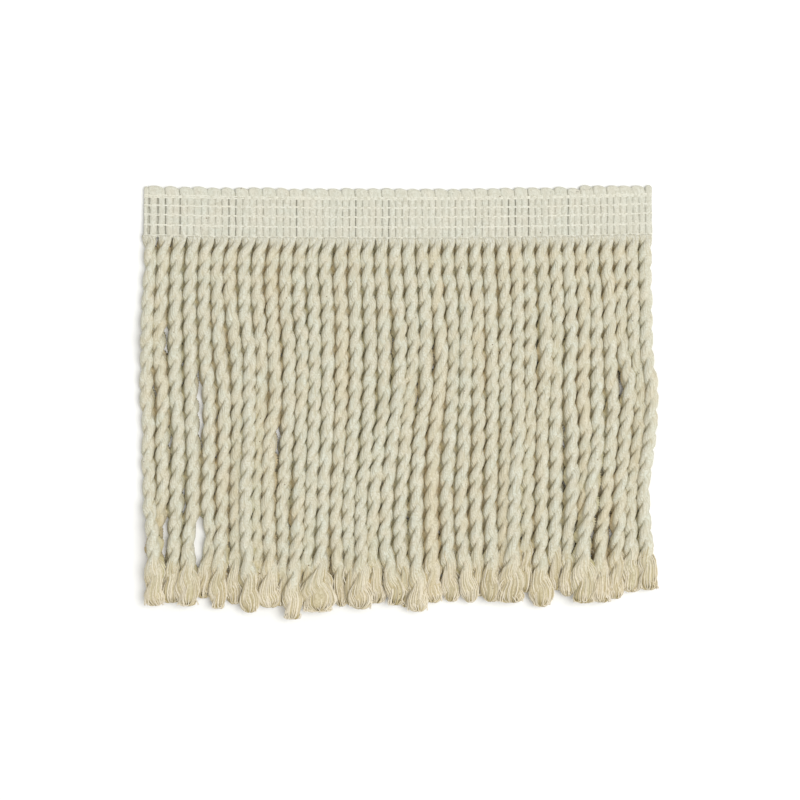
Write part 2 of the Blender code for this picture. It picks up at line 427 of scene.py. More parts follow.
@dataclass
class YarnMesh:
    """Gathers closed tubes of yarn and joins them into one mesh."""

    name: str
    # The share of a tube's strip of the bake map that stays empty at either side of it
    margin: float = 0.04
    rings: list[np.ndarray] = field(default_factory=list)
    lengths: list[np.ndarray] = field(default_factory=list)
    finishes: list[int] = field(default_factory=list)
    marks: dict[str, list[np.ndarray]] = field(default_factory=lambda: {name: [] for name in MARKS})

    def add(self, rings: np.ndarray, finish: int = 0, **marks: float | np.ndarray) -> None:
        """Adds one tube.

        Args:
            rings: the points of each ring in millimetres, as rings by sides by three.
            finish: which of the mesh's materials it has.
            marks: its marks by name, each one number, one for each ring or one for each point.
        """
        steps = np.linalg.norm(np.diff(rings.mean(axis=1), axis=0), axis=1)
        self.rings.append(rings)
        self.lengths.append(np.concatenate([[0.0], np.cumsum(steps)]))
        self.finishes.append(finish)
        for name, plain in MARKS.items():
            value = np.asarray(marks.get(name, plain), dtype=float)
            value = value[:, None] if value.ndim == 1 else value
            self.marks[name].append(np.broadcast_to(value, rings.shape[:2]).ravel())

    def triangles(self) -> int:
        """How many triangles the tubes have in all."""
        return sum(2 * (len(r) - 1) * r.shape[1] + 2 * (r.shape[1] - 2) for r in self.rings)

    def skin(self, number: int, left: float, right: float) -> tuple[np.ndarray, ...]:
        """Lays out the faces of one tube and of its two closed ends.

        Args:
            number: which tube.
            left: where its strip of the bake map starts.
            right: where that strip ends.

        Returns:
            The point of each face corner, counted in the tube, how many corners each face has, and
            the place of each corner in the thread map and in the bake map.
        """
        lengths = self.lengths[number]
        rows, sides = self.rings[number].shape[:2]
        row, side = np.divmod(np.arange((rows - 1) * sides), sides)
        here, after = row * sides + side, row * sides + (side + 1) % sides
        corners = [np.stack([here, after, after + sides, here + sides], 1).ravel()]
        counts = [np.full(len(here), 4)]
        around = np.stack([side, side + 1, side + 1, side], 1).ravel() / sides
        along = np.stack([lengths[row], lengths[row], lengths[row + 1], lengths[row + 1]], 1).ravel()
        margin = (right - left) * self.margin
        strip = left + margin + around * (right - left - 2 * margin)
        thread = [np.stack([around, along], 1)]
        baked = [np.stack([strip, 0.01 + 0.98 * along / lengths[-1]], 1)]
        turn = np.arange(sides) / sides
        last = (rows - 1) * sides
        for end, level in ((np.arange(sides)[::-1], 0.0), (np.arange(sides) + last, 1.0)):
            corners.append(end)
            counts.append(np.array([sides]))
            thread.append(np.stack([turn, np.full(sides, level * lengths[-1])], 1))
            # The end's own small disc, past the strip's end
            across = (left + right) / 2 + 0.2 * margin * np.cos(math.tau * turn)
            baked.append(np.stack([across, 0.005 + 0.99 * level + 0.003 * np.sin(math.tau * turn)], 1))
        return tuple(np.concatenate(part) for part in (corners, counts, thread, baked))

    def build(self, finishes: list[bpy.types.Material], slot: Slot) -> bpy.types.Object:
        """Makes the object, which rides on the frame's one body.

        Args:
            finishes: the yarns' materials.
            slot: the slot of those finishes, not used.

        Returns:
            The new object.
        """
        shares = np.array([r.shape[1] * length[-1] for r, length in zip(self.rings, self.lengths)])
        edges = np.concatenate([[0.0], np.cumsum(shares) / shares.sum()])
        skins = [self.skin(number, *edges[number : number + 2]) for number in range(len(self.rings))]
        firsts = np.cumsum([0] + [r.shape[0] * r.shape[1] for r in self.rings])
        corners = np.concatenate([skin[0] + first for skin, first in zip(skins, firsts)])
        sizes, thread, baked = (np.concatenate([skin[part] for skin in skins]) for part in (1, 2, 3))
        points = np.concatenate([rings.reshape(-1, 3) for rings in self.rings]) * MM
        made = bpy.data.meshes.new(self.name)
        made.vertices.add(len(points))
        made.vertices.foreach_set("co", points.astype(np.float32).ravel())
        made.loops.add(len(corners))
        made.loops.foreach_set("vertex_index", corners.astype(np.int32))
        made.polygons.add(len(sizes))
        starts = np.concatenate([[0], np.cumsum(sizes)[:-1]])
        made.polygons.foreach_set("loop_start", starts.astype(np.int32))
        for map_name, coordinates in ((BAKE_MAP, baked), (THREAD_MAP, thread)):
            layer = made.uv_layers.new(name=map_name, do_init=False)
            layer.uv.foreach_set("vector", coordinates.astype(np.float32).ravel())
        for name, values in self.marks.items():
            attribute = made.attributes.new(name, "FLOAT", "POINT")
            attribute.data.foreach_set("value", np.concatenate(values).astype(np.float32))
        made.update(calc_edges=True)
        made.validate()
        made.shade_smooth()
        for finish in finishes:
            made.materials.append(finish)
        worn = [np.full(len(skin[1]), use) for skin, use in zip(skins, self.finishes)]
        made.polygons.foreach_set("material_index", np.concatenate(worn).astype(np.int32))
        piece = add_object(self.name, made)
        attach(piece, BODY)
        log.info("%s: %d tubes, %d triangles", self.name, len(self.rings), self.triangles())
        return piece


def tube(path: np.ndarray, radius: np.ndarray, sides: int) -> np.ndarray:
    """Rings of a round yarn along a path that runs mostly in the plane of the cloth.

    Args:
        path: the points that it follows, in millimetres.
        radius: its radius at each point.
        sides: how many sides it has.

    Returns:
        The rings, as points by sides by three.
    """
    along = np.gradient(path, axis=0)
    along /= np.linalg.norm(along, axis=1, keepdims=True)
    out = np.array([0.0, 0.0, 1.0]) - along * along[:, 2:3]
    out /= np.maximum(np.linalg.norm(out, axis=1, keepdims=True), 1e-6)
    side = np.cross(out, along)
    turn = math.tau * np.arange(sides) / sides
    wide = side[:, None, :] * np.cos(turn)[None, :, None]
    high = out[:, None, :] * np.sin(turn)[None, :, None]
    return path[:, None, :] + radius[:, None, None] * (wide + high)


@dataclass(frozen=True)
class Lay:
    """Where one cord lies, in millimetres.

    The first eight values are how far it stands to the right of its even place, at eight heights
    from just under the heading down to its tip. Layer says which of two close cords is in front.
    """

    throat: float
    crown: float
    upper: float
    knee: float
    middle: float
    lower: float
    tail: float
    tip: float
    length: float
    end_width: float
    layer: float


# The distances below the heading at which a Lay's first eight values are read
LAY_DEPTHS = {
    "throat": 7.6,
    "crown": 22.1,
    "upper": 40.2,
    "knee": 58.3,
    "middle": 69.1,
    "lower": 94.5,
    "tail": 110.8,
    "tip": 127.0,
}

# throat, crown, upper, knee, middle, lower, tail, tip, length, end width, layer
LAYS = tuple(
    Lay(*row)
    for row in (
        (0.0, -0.8, -1.3, -1.3, -0.9, -0.2, 1.2, 1.4, 133.6, 5.8, 3.0),
        (-0.1, -0.8, -1.9, -0.2, -0.9, -0.7, -3.1, -2.7, 130.7, 4.3, 0.0),
        (0.1, -0.5, -0.7, -0.3, 0.4, -0.4, -1.0, -2.3, 132.5, 5.1, 1.0),
        (0.5, -0.3, 0.2, 0.3, 0.5, 1.0, -0.6, -0.8, 133.4, 7.2, 1.5),
        (0.4, 0.0, 0.5, 1.8, 2.2, 1.6, 2.1, 0.1, 130.7, 4.0, 0.0),
        (0.0, 0.2, 0.8, 2.5, 2.8, 2.0, 1.3, 0.4, 134.3, 5.4, 2.0),
        (0.1, -0.1, 2.1, 2.8, 2.6, 1.9, 1.9, 1.3, 132.7, 5.8, 0.5),
        (0.1, 0.3, 2.1, 2.3, 1.9, 0.8, 1.0, 2.5, 135.4, 5.8, 2.5),
        (0.4, 0.1, 1.6, 1.4, 0.9, -0.4, 0.1, -0.4, 132.1, 5.1, 0.7),
        (0.8, 0.4, 1.3, 1.7, 0.2, -1.0, -0.2, -0.3, 133.6, 7.2, 1.2),
        (0.8, 0.6, 1.7, 1.9, 1.5, -0.5, -0.3, -0.5, 133.2, 3.3, 0.0),
        (0.8, 1.0, 1.9, 1.7, 1.2, 0.5, -0.4, -1.5, 137.6, 5.1, 3.0),
        (0.5, 1.2, 1.6, 1.6, 1.2, 0.1, -1.1, -1.5, 132.9, 4.3, 0.4),
        (0.4, 1.1, 1.5, 1.6, 1.1, -0.3, -1.1, -2.1, 135.0, 10.9, 2.5),
        (1.0, 1.3, 1.7, 1.3, 1.0, -0.3, -0.3, 1.3, 133.2, 4.3, 0.6),
        (1.2, 1.6, 1.9, 1.4, 0.8, -0.7, -0.8, 0.5, 132.9, 4.3, 0.8),
        (0.9, 1.8, 2.3, 1.6, 1.4, -0.9, -1.1, -1.3, 133.8, 7.2, 2.0),
        (1.3, 2.2, 2.4, 2.4, 1.3, -1.4, -2.2, -0.7, 132.0, 6.2, 0.0),
        (1.7, 2.8, 3.7, 2.4, 1.3, -1.4, -1.9, 1.5, 132.5, 5.1, 2.2),
        (1.6, 2.6, 3.2, 1.6, 0.7, -1.0, -1.5, 1.0, 133.4, 5.8, 1.0),
        (1.8, 2.9, 2.9, 2.7, 0.9, -0.5, -0.6, 0.3, 134.8, 6.2, 1.6),
        (1.4, 2.7, 3.8, 2.6, 1.3, 0.2, 0.2, 0.7, 131.8, 6.2, 0.7),
        (1.3, 2.6, 3.5, 2.8, 2.2, 0.9, 1.2, 2.6, 131.4, 6.2, 1.1),
        (1.4, 2.8, 3.1, 2.5, 2.4, 1.3, 1.9, 4.5, 131.6, 5.6, 1.9),
        (1.6, 2.7, 2.7, 2.8, 2.8, 1.7, 2.2, 3.2, 129.6, 3.1, 0.0),
        (1.6, 2.3, 2.9, 3.1, 2.8, 2.4, 2.6, 2.4, 131.4, 6.2, 1.7),
        (1.9, 2.8, 2.7, 3.0, 3.0, 2.4, 2.1, 2.2, 129.2, 3.6, 0.2),
        (1.9, 2.5, 2.5, 2.8, 2.6, 1.2, 0.5, -0.5, 131.8, 6.5, 2.6),
        (1.6, 2.3, 2.3, 2.3, 2.0, 1.0, 0.6, 0.3, 128.5, 4.0, 0.5),
        (1.6, 2.4, 2.9, 2.2, 1.8, 1.4, 1.1, 1.3, 133.6, 7.2, 2.1),
        (1.7, 2.3, 1.9, 1.9, 1.6, 1.6, 1.2, 1.7, 127.8, 3.3, 0.0),
        (1.5, 2.3, 2.4, 1.9, 2.6, 2.7, 1.4, 1.0, 130.0, 4.7, 1.3),
        (1.0, 2.0, 2.5, 1.8, 2.7, 1.7, 1.8, 1.0, 128.5, 3.6, 0.1),
        (0.5, 1.6, 2.2, 2.2, 2.5, -0.3, -3.2, -2.7, 132.5, 6.9, 2.8),
        (0.6, 1.5, 1.8, 3.0, 2.6, 0.6, -1.4, -1.4, 132.5, 5.1, 1.5),
        (0.6, 0.9, 1.5, 4.1, 2.8, 0.6, -0.2, -1.0, 131.4, 5.4, 1.2),
        (0.1, 0.7, 1.0, 3.4, 2.8, -0.1, -0.1, 0.1, 129.2, 5.8, 0.3),
        (0.0, 0.4, 0.5, 2.2, 1.8, -0.8, 0.2, 1.0, 128.5, 4.7, 1.4),
    )
)


@dataclass(frozen=True)
class Setting:
    """The heading's place in the frame, and the even spacing of legs and cords along it."""

    middle: float
    edge: float
    cord_pitch: float = 4.84
    # How much higher the heading's lower edge is at its two ends
    lift_left: float = 1.0
    lift_right: float = 1.5
    # How far the legs are pushed to the right of even spacing, as (leg line, shift)
    crowding: Stops = (
        (0, 0.0), (1, -0.6), (2, 0.2), (4, 0.8), (8, 1.35),
        (20, 2.1), (30, 1.75), (48, 1.55), (68, 1.05), (76, 0.2),
    )

    @property
    def leg_pitch(self) -> float:
        """The even width of one leg."""
        return self.cord_pitch / 2

    @property
    def half(self) -> float:
        """Half of the heading's length."""
        return len(LAYS) * self.cord_pitch / 2

    def even_place(self, index: int) -> float:
        """The even place across of a cord, counted from the left."""
        return self.middle + (index - (len(LAYS) - 1) / 2) * self.cord_pitch

    def leg_line(self, line: int) -> float:
        """The place across of the line between two legs, counted from the left end."""
        shift = float(swept(np.array([line]), self.crowding)[0])
        return self.middle - self.half + line * self.leg_pitch + shift

    def rise(self, across: np.ndarray) -> np.ndarray:
        """How high the heading's lower edge is at a place across, ends lifted a little."""
        share = (across - self.middle) / self.half
        return self.edge + np.where(share < 0, self.lift_left, self.lift_right) * share * share


@dataclass
class Heading:
    """The woven band: upright legs of cord yarn that turn over in loops, bound by fine warp."""

    setting: Setting
    seed: int = 5
    # A leg's thickness and height above the surface, and how much more the thick cords raise it
    leg_thick: float = 1.45
    leg_base: float = 0.34
    edge_raise: float = 0.75
    edge_reach: float = 13.0
    # A leg's mesh: its sides, the step between its rings, where it starts, and how square it is
    leg_sides: int = 18
    leg_step: float = 0.9
    leg_low: float = -0.4
    roundness: float = 2.8
    # The lowest and highest places at which the sides of the legs stray and slacken, and the step
    knots: tuple = (-2.0, 22.0, 1.9)
    stray: float = 0.06
    slack_range: tuple = (-0.3, 1.0)
    # How far legs press into each other, times what for each pair, and the slack that undoes it
    press: float = 0.22
    press_range: tuple = (0.35, 1.7)
    press_slack: float = 1.2
    # The width of the slits that stand open, by the leg line that they follow
    open_slits: dict = field(
        default_factory=lambda: {
            1: 0.66, 2: 0.5, 3: 0.24, 5: 0.24, 12: 0.1, 13: 0.12, 22: 0.1, 31: 0.1,
            36: 0.08, 54: 0.1, 55: 0.13, 57: 0.14, 63: 0.08,
        }
    )
    # How much of that width a taut slit has, what slackness adds, and the heights over which it closes
    slit_least: float = 0.5
    slit_slack: float = 0.65
    slit_top: tuple = (14.6, 15.8)
    # The painted shade on a leg's sides: how dark, from where across it, how sharp, and how low it has
    # faded in
    side_shade: float = 0.23
    side_start: float = 1 / 3
    side_power: float = 1.5
    side_fade: float = 1.5
    # The loops: the height of their tops, how far it strays, and how far a few stand off the others,
    # by their middle leg line
    top: float = 18.45
    top_stray: float = 0.12
    odd_tops: dict = field(default_factory=lambda: {22: -0.3, 40: -0.3, 46: -0.45, 64: -0.35, 66: 0.5})
    # Where a loop's peak is, from -1 at its left to 1 at its right, and how far its outline falls at
    # either side of it, times what for each loop, and how steeply
    peak: float = -0.15
    left_drop: float = 0.55
    left_range: tuple = (0.5, 1.4)
    left_power: float = 2.5
    right_drop: float = 0.95
    right_range: tuple = (0.8, 1.2)
    right_power: float = 1.8
    # How far a loop leans to the left, the half width of its eye and how far that is below the peak,
    # how far below its outline the legs end, its rings, and how uneven its yarn is
    lean: float = 0.5
    fold_in: float = 0.2
    eye_drop: float = 1.0
    loop_gap: float = 0.2
    loop_steps: int = 13
    loop_uneven: float = 0.025
    # Each loop lies over its left neighbour and under its right one, like scales, with painted shade on its
    # rim
    scale_lift: float = 0.09
    rim_start: float = 0.6
    rim_shade: float = 0.18
    # The yarn's inside that fills the eye of a loop
    core_half: float = 1.3
    core_below: float = 0.6
    core_steps: int = 9
    core_lift: float = 0.015
    # How an end leg is rounded off at the top, and the least width that it and a core have, squared
    end_drop: float = 0.2
    end_round: float = 1.2
    end_radius: float = 1.25
    end_steps: int = 6
    least_square: float = 0.02
    # The rows of warp, the threads side by side in one and in the top one, and how far they waver
    warp_heights: tuple = (0.45, 4.3, 8.0, 11.4, 14.75)
    row_threads: tuple = (-0.16, 0.16)
    top_threads: tuple = (-0.48, -0.17, 0.17, 0.48)
    warp_radius: float = 0.19
    warp_sides: int = 5
    warp_steps: int = 6
    warp_wave: float = 0.07
    # How far over a leg the warp passes, as (leg line, height), and under one. It is drawn tight only
    # at the left end, and sunk into the soft legs elsewhere
    warp_over: Stops = ((6.0, -0.04), (16.0, -0.15))
    warp_stray: float = 0.05
    warp_under: float = -0.4
    warp_bed: float = 0.09
    # How far a row of warp dents a leg, and how pale the leg is there, and over what heights
    dent: float = 0.14
    dent_high: float = 0.5
    pale: float = 0.6
    pale_high: float = 0.62
    # A thin flat strip of yarn set low behind each open slit, partly painted with shade, so that the slit
    # shows shade
    slit_shade_half: float = 0.35
    slit_shade_thick: float = 0.22
    slit_shade_lift: float = -0.5
    slit_shade_low: float = 0.2
    slit_shade_steps: int = 12

    def __post_init__(self) -> None:
        """Draws how each line between two legs strays, and how its slit opens and closes."""
        self.random = np.random.default_rng(self.seed)
        knots = np.arange(*self.knots)
        lines = range(2 * len(LAYS) + 1)
        self.strays = [list(zip(knots, self.random.normal(0.0, self.stray, len(knots)))) for _ in lines]
        self.slacks = [list(zip(knots, self.random.uniform(*self.slack_range, len(knots)))) for _ in lines]
        self.presses = [self.press * self.random.uniform(*self.press_range) for _ in lines]

    def closed(self, level: np.ndarray) -> np.ndarray:
        """How far the slits are closed at each height, from 0 to 1."""
        return eased(level, [(self.slit_top[0], 0.0), (self.slit_top[1], 1.0)])

    def tilted(self, level: np.ndarray) -> np.ndarray:
        """How far the loops lean across at each height."""
        return -self.lean * eased(level, [(self.slit_top[0], 0.0), (self.top, 1.0)])

    def leg_side(self, line: int, level: np.ndarray, way: int) -> np.ndarray:
        """Where the side of a leg stands beside the line between two legs.

        Args:
            line: the line's number from the left.
            level: the heights above the heading's lower edge.
            way: 1 for the leg to the right of the line, or -1 for the one to its left.

        Returns:
            The place across at each height.
        """
        slack = swept(level, self.slacks[line])
        if line in self.open_slits:
            gap = self.open_slits[line] * (self.slit_least + self.slit_slack * slack)
            gap = gap * (1 - self.closed(level))
        else:
            gap = self.presses[line] * (slack - self.press_slack)
        return self.setting.leg_line(line) + swept(level, self.strays[line]) + way * gap / 2

    def stand(self, level: np.ndarray) -> np.ndarray:
        """How far the thick cords lift the band at each height above its lower edge."""
        return eased(level, [(0.0, self.edge_raise), (self.edge_reach, 0.0)])

    def near_warp(self, level: np.ndarray, reach: float) -> np.ndarray:
        """How near each height is to a row of warp, from 0 to 1, over a reach."""
        return np.sum([np.exp(-(((level - row) / reach) ** 2)) for row in self.warp_heights], axis=0)

    def build(
        self, legs_finish: bpy.types.Material, warp_finish: bpy.types.Material
    ) -> list[bpy.types.Object]:
        """Makes the band of legs and the warp that binds it.

        Args:
            legs_finish: the material of the cord yarn.
            warp_finish: the material of the fine warp.

        Returns:
            The band and the warp.
        """
        legs = YarnMesh("heading_legs")
        last = 2 * len(LAYS) - 1
        self.add_end_leg(legs, 0)
        for leg in range(1, last, 2):
            self.add_loop(legs, leg)
        self.add_end_leg(legs, last)
        for line in self.open_slits:
            self.add_slit_shade(legs, line)
        band = legs.build([legs_finish], Slot.HEADING)
        warp = YarnMesh("heading_warp")
        for height in self.warp_heights:
            threads = self.top_threads if height == self.warp_heights[-1] else self.row_threads
            for order, shift in enumerate(threads):
                self.add_warp(warp, height + shift, Turn.OVER if order % 2 else Turn.UNDER)
        return [band, warp.build([warp_finish], Slot.HEADING)]

    def add_rings(
        self,
        legs: YarnMesh,
        outer: np.ndarray,
        inner: np.ndarray,
        fat: np.ndarray | float = 1.0,
        lift: np.ndarray | float = 0.0,
        rim: np.ndarray | float = 0.0,
    ) -> None:
        """Adds a flattened yarn between two edges.

        Args:
            legs: the mesh that it goes into.
            outer: the places across and heights of its outer edge.
            inner: those of its inner edge.
            fat: how much thicker it is at each place than a leg.
            lift: how much higher it stands at each place.
            rim: how much painted shade its outer edge has at each place.
        """
        level = (outer[:, 1] + inner[:, 1]) / 2
        half_thick = fat * (self.leg_thick - self.dent * self.near_warp(level, self.dent_high)) / 2
        ends = []
        for edge in (outer, inner):
            ends.append(np.stack([edge[:, 0], self.setting.rise(edge[:, 0]) + edge[:, 1]], 1))
        middle, half = (ends[0] + ends[1]) / 2, (ends[0] - ends[1]) / 2
        turn = math.tau * np.arange(self.leg_sides) / self.leg_sides
        power = 2 / self.roundness
        wide, high = (np.sign(wave) * np.abs(wave) ** power for wave in (np.cos(turn), np.sin(turn)))
        rings = np.empty((len(level), self.leg_sides, 3))
        rings[:, :, :2] = middle[:, None, :] + half[:, None, :] * wide[None, :, None]
        base = self.leg_base + self.stand(level) + self.leg_thick / 2 + lift
        rings[:, :, 2] = base[:, None] + half_thick[:, None] * high[None, :]
        # Painted shade on the sides of the legs, fading out above the slits, and on the outer rim of a loop
        aside = np.clip((np.abs(wide) - self.side_start) / (1 - self.side_start), 0.0, 1.0)
        below = np.clip((self.slit_top[1] - level) / self.side_fade, 0.0, 1.0)
        outward = np.clip((wide - self.rim_start) / (1 - self.rim_start), 0.0, 1.0)
        rims = np.broadcast_to(rim, level.shape)[:, None] * outward[None, :]
        fold = self.side_shade * (aside**self.side_power)[None, :] * below[:, None] + rims
        pale = self.pale * self.near_warp(level, self.pale_high)
        legs.add(rings, tint=self.random.uniform(0.3, 0.8), fold=fold, opened=pale)

    def add_slit_shade(self, legs: YarnMesh, line: int) -> None:
        """Adds a thin flat strip of yarn behind an open slit, partly painted with shade, so that the slit
        shows shade.

        Args:
            legs: the mesh that it goes into.
            line: the slit's leg line.
        """
        level = np.linspace(self.slit_shade_low, self.slit_top[1], self.slit_shade_steps)
        left = np.stack([self.leg_side(line, level, -1) - self.slit_shade_half, level], 1)
        right = np.stack([self.leg_side(line, level, 1) + self.slit_shade_half, level], 1)
        self.add_rings(legs, left, right, self.slit_shade_thick, self.slit_shade_lift, 1.0)

    def add_end_leg(self, legs: YarnMesh, leg: int) -> None:
        """Adds a single leg, which stands at an end of the band.

        Args:
            legs: the mesh that it goes into.
            leg: its number from the left.
        """
        top = self.top - self.end_drop
        turning = top - self.end_round
        rounded = np.linspace(turning, top, self.end_steps)
        level = np.concatenate([np.arange(self.leg_low, turning, self.leg_step), rounded])
        left, right = self.leg_side(leg, level, 1), self.leg_side(leg + 1, level, -1)
        past = np.clip((level - turning) / self.end_radius, 0.0, 1.0)
        round_off = np.sqrt(np.clip(1 - past**2, self.least_square, 1.0))
        middle, half = (left + right) / 2, (right - left) / 2 * round_off
        edges = [np.stack([middle + way * half, level], 1) for way in (-1, 1)]
        self.add_rings(legs, *edges, round_off)

    def add_loop(self, legs: YarnMesh, leg: int) -> None:
        """Adds two legs and the bend of yarn that joins them over the top.

        Args:
            legs: the mesh that they go into.
            leg: the left leg's number.
        """
        top = self.top + self.random.normal(0.0, self.top_stray) + self.odd_tops.get(leg + 1, 0.0)
        middle = self.setting.leg_line(leg + 1)
        place = np.linspace(-1.0, 1.0, self.loop_steps)
        left_drop = self.left_drop * self.random.uniform(*self.left_range)
        right_drop = self.right_drop * self.random.uniform(*self.right_range)
        before = np.clip((self.peak - place) / (1 + self.peak), 0.0, 1.0) ** self.left_power
        after = np.clip((place - self.peak) / (1 - self.peak), 0.0, 1.0) ** self.right_power
        crest = top - left_drop * before - right_drop * after
        level = np.arange(self.leg_low, crest.min() - self.loop_gap, self.leg_step)
        closed, tilted = self.closed(level), self.tilted(level)
        edges = []
        for line, way in ((leg, 1), (leg + 1, -1), (leg + 1, 1), (leg + 2, -1)):
            across = self.leg_side(line, level, way)
            if line == leg + 1:
                across = across + closed * (middle + way * self.fold_in - across)
            edges.append(np.stack([across + tilted, level], 1))
        left, right = edges[0][-1, 0], edges[3][-1, 0]
        outer = np.stack([(left + right) / 2 + (right - left) / 2 * place, crest], 1)
        centre = np.array([middle + tilted[-1], crest.min() - self.eye_drop])
        away = outer - centre
        inner = centre + self.fold_in * away / np.linalg.norm(away, axis=1, keepdims=True)
        outer = np.concatenate([edges[0], outer, edges[3][::-1]])
        inner = np.concatenate([edges[1], inner, edges[2][::-1]])
        uneven = 1 + self.random.normal(0.0, self.loop_uneven, len(outer))
        scale = np.concatenate([np.ones(len(level)), -place, -np.ones(len(level))])
        high = eased(outer[:, 1], [(self.slit_top[1], 0.0), (self.top - self.eye_drop, 1.0)])
        self.add_rings(legs, outer, inner, uneven, self.scale_lift * scale * high, self.rim_shade * high)
        share = np.linspace(0.0, 1.0, self.core_steps)
        core = self.slit_top[0] + (crest.max() - self.core_below - self.slit_top[0]) * share
        half = self.core_half * np.sqrt(np.clip(1 - share**4, self.least_square, 1.0))
        sides = [np.stack([middle + self.tilted(core) + way * half, core], 1) for way in (-1, 1)]
        self.add_rings(legs, *sides, lift=self.core_lift)

    def add_warp(self, warp: YarnMesh, height: float, turn: Turn) -> None:
        """Adds one warp thread, which shows in every slit and goes over and under the legs by turns.

        Args:
            warp: the mesh that it goes into.
            height: its height above the heading's lower edge.
            turn: how it passes the first leg.
        """
        count = 2 * len(LAYS)
        numbers = np.arange(count + 1)
        place = np.arange(count * self.warp_steps + 1) / self.warp_steps
        across = np.interp(place, numbers, [self.setting.leg_line(line) for line in numbers])
        wave = np.interp(place, numbers, self.random.normal(0.0, self.warp_wave, count + 1))
        level = height + wave
        sunk = eased(numbers, self.warp_over) + self.random.normal(0.0, self.warp_stray, count + 1)
        is_over = np.floor(place) % 2 == (0 if turn is Turn.OVER else 1)
        over = np.where(is_over, sunk[np.minimum(place.astype(int), count)], self.warp_under)
        top = self.leg_base + self.leg_thick - self.dent / 2 + self.stand(level)
        lifted = top - self.warp_bed + over * np.sin(math.pi * place) ** 2
        path = np.stack([across, self.setting.rise(across) + level, lifted], 1)
        rings = tube(path, np.full(len(path), self.warp_radius), self.warp_sides)
        warp.add(rings, tint=self.random.uniform(0.3, 0.9))


@dataclass(frozen=True)
class StrayLoop:
    """A yarn that has slipped out of a cord's side in a loop."""

    cord: int
    depth: float
    height: float
    bulge: float


STRAYS = (StrayLoop(15, 117.5, 8.5, -2.6), StrayLoop(27, 122.0, 8.0, -4.0))


@dataclass(frozen=True)
class Stacking:
    """How far a cord is raised by those under it, and how far those over it shut it in, which is painted as
    shade, at some depths.

    Free is how far its left and its right side are free of the next cord, from 0 to 1.
    """

    depth: np.ndarray
    raised: np.ndarray
    covered: np.ndarray
    free: np.ndarray


